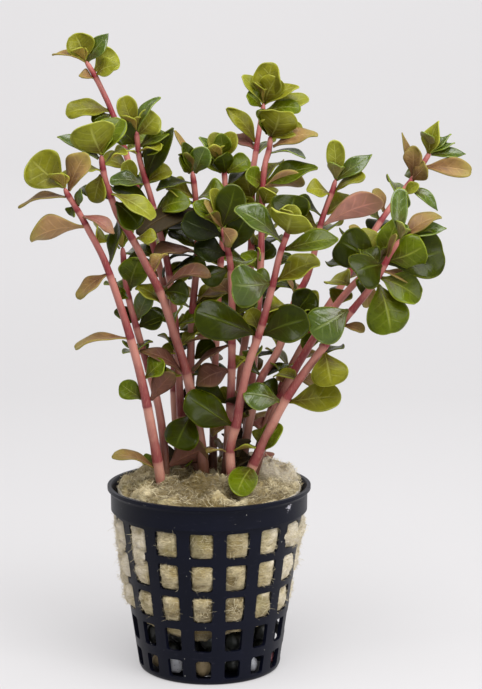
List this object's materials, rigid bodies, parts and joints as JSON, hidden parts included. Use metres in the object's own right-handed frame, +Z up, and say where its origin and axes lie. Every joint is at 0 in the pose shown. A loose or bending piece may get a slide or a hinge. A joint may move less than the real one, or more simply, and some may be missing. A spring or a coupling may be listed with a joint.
{
  "type": "potted rotala indica",
  "caption": "Aquarium stem plant with pink stems and small round green to bronze leaves, planted in stone wool in a black net pot.",
  "frame": {"origin": "middle of the underside of the pot's floor, on the surface that it stands on", "axes": "+Z up, -Y to the front as pictured, +X to the right"},
  "size_m": [0.1079, 0.0612, 0.1554],
  "materials": {
    "pot_plastic": "satin",
    "stone_wool": "matte",
    "stem": "satin",
    "leaf_dark": "gloss",
    "leaf_green": "satin",
    "leaf_olive": "satin",
    "leaf_yellow": "satin",
    "leaf_bronze": "satin",
    "leaf_pink": "satin",
    "leaf_pale": "gloss",
    "pebble_pale": "matte",
    "pebble_tan": "matte",
    "pebble_pink": "matte",
    "pebble_dark": "satin"
  },
  "bodies": {
    "root": {"net_pot": "pot_plastic", "stone_wool": "stone_wool", "pebble_1": "pebble_pale", "pebble_2": "pebble_tan", "pebble_3": "pebble_pale", "pebble_4": "pebble_pink", "pebble_5": "pebble_dark", "pebble_6": "pebble_dark", "pebble_7": "pebble_tan", "pebble_8": "pebble_pale", "stem_01": "stem", "stem_02": "stem", "stem_03": "stem", "stem_04": "stem", "stem_05": "stem", "stem_06": "stem", "stem_07": "stem", "stem_08": "stem", "stem_09": "stem", "stem_10": "stem", "stem_11": "stem", "stem_12": "stem", "stem_13": "stem", "stem_14": "stem", "stem_15": "stem", "leaf_01_1": "leaf_olive", "leaf_01_2": "leaf_bronze", "leaf_01_3": "leaf_bronze", "leaf_02_1": "leaf_green", "leaf_03_1": "leaf_yellow", "leaf_03_2": "leaf_yellow", "leaf_03_3": "leaf_dark", "leaf_03_4": "leaf_pink", "leaf_04_1": "leaf_olive", "leaf_05_1": "leaf_dark", "leaf_06_1": "leaf_bronze", "leaf_06_2": "leaf_pink", "leaf_08_1": "leaf_dark", "leaf_08_2": "leaf_dark", "leaf_09_1": "leaf_olive", "leaf_10_1": "leaf_olive", "leaf_10_2": "leaf_bronze", "leaf_10_3": "leaf_green", "leaf_11_1": "leaf_dark", "leaf_11_2": "leaf_yellow", "leaf_11_3": "leaf_pale", "leaf_11_4": "leaf_olive", "leaf_11_5": "leaf_dark", "leaf_11_6": "leaf_dark", "leaf_11_7": "leaf_dark", "leaf_12_1": "leaf_pink", "leaf_14_1": "leaf_dark", "leaf_15_1": "leaf_dark", "leaf_15_2": "leaf_dark", "leaf_15_3": "leaf_green", "leaf_15_4": "leaf_green", "leaf_15_5": "leaf_pale", "leaf_15_6": "leaf_olive", "leaf_15_7": "leaf_olive", "leaf_15_8": "leaf_pale"}
  },
  "joints": []
}
